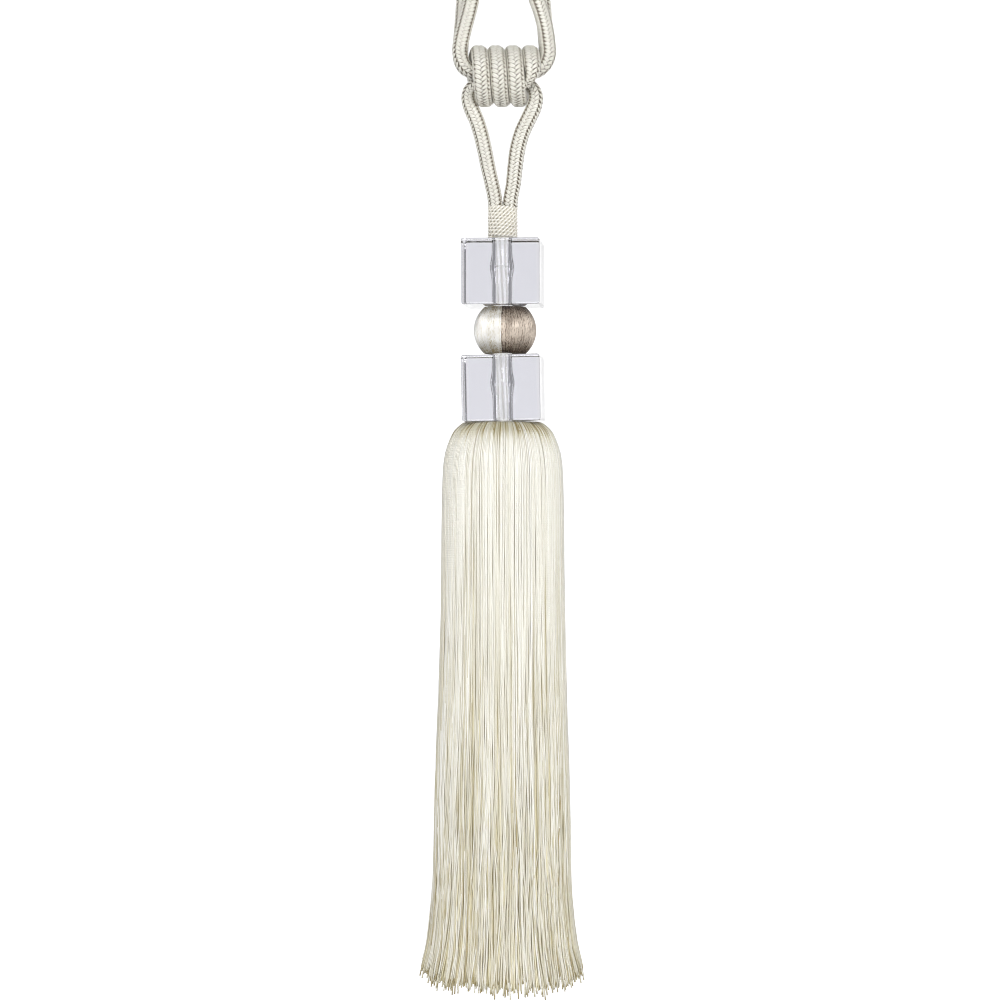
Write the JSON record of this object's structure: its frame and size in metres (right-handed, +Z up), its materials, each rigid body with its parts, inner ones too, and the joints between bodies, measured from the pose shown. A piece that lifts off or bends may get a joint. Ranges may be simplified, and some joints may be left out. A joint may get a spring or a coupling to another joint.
{
  "type": "curtain tieback tassel",
  "caption": "Curtain tieback tassel: braided cord tie with a wrapped knot, clear blocks and a silk-covered ball on a bound neck, and a long straight thread skirt.",
  "frame": {"origin": "where the tie hangs on its hook: on the underside of its two arches, over the middle of the tassel", "axes": "+Z up, along the hanging tassel; +X to the viewer's right; the viewer looks along +Y"},
  "size_m": [0.0641, 0.0638, 0.4047],
  "materials": {
    "braid": "ivory braided rayon cord with a soft sheen",
    "binding": "ivory twisted rayon cord with a soft sheen",
    "inner_cord": "white silky cord",
    "clear_block": "clear polished acrylic",
    "cream_silk": "cream satin thread, wound",
    "taupe_silk": "taupe satin thread, wound",
    "skirt_thread": "ivory twisted rayon thread with a silky sheen"
  },
  "bodies": {
    "root": {"tie_loop_front": "braid", "tie_loop_back": "braid", "knot_wrap": "braid", "tassel_loop": "braid", "neck_binding": "binding", "inner_cord": "inner_cord", "upper_block": "clear_block", "ball_cream_half": "cream_silk", "ball_taupe_half": "taupe_silk", "lower_block": "clear_block", "tassel_skirt": "skirt_thread"}
  },
  "joints": []
}
